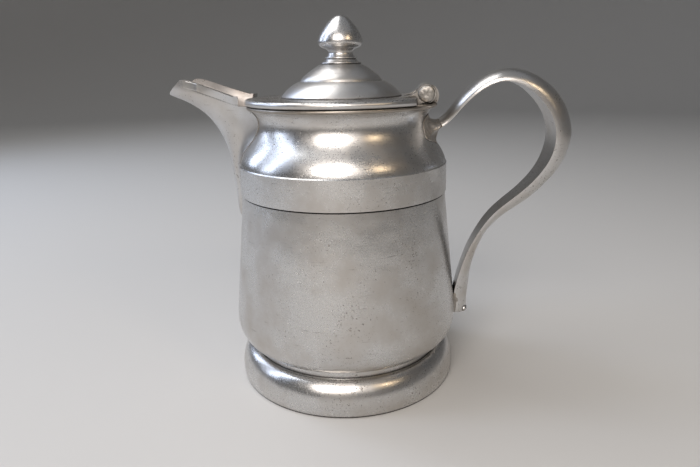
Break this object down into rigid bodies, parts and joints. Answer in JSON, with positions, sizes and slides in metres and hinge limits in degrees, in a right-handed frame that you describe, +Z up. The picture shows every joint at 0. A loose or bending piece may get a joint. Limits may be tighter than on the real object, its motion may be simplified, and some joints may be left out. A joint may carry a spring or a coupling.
{
  "type": "hinged-lid serving pitcher",
  "caption": "Small silver-plated serving pitcher with a banded round body, open beak spout, ear-shaped strap handle and a stepped hinged lid with an acorn knob.",
  "frame": {"origin": "on the body's axis, on the plane that the foot's flat ring stands on", "axes": "+Z up along the body's axis, +X towards the handle, spout towards -X, hinge pin along Y"},
  "size_m": [0.1435, 0.085, 0.1321],
  "materials": {
    "silver_plate": "worn silver plate on nickel silver, satin with fine pits and scratches",
    "nickel_silver": "bare turned nickel silver"
  },
  "bodies": {
    "body": {"foot_ring": "silver_plate", "lower_body": "silver_plate", "neck_shell": "silver_plate", "rim_wire": "silver_plate", "spout_shell": "silver_plate", "spout_strip_front": "silver_plate", "spout_strip_back": "silver_plate", "handle": "silver_plate", "hinge_body_knuckle": "silver_plate", "hinge_pin": "nickel_silver"},
    "lid": {"lid_shell": "silver_plate", "lid_bezel": "silver_plate", "hinge_lid_knuckle_front": "silver_plate", "hinge_lid_knuckle_back": "silver_plate", "finial": "silver_plate", "finial_stud": "nickel_silver", "finial_washer": "nickel_silver", "finial_nut": "nickel_silver"}
  },
  "joints": [
    {"name": "lid_hinge", "type": "hinge", "parent": "body", "child": "lid", "pos_m": [0.0299, 0, 0.10585], "axis": [0, 1, 0], "range_deg": [0, 105]}
  ]
}
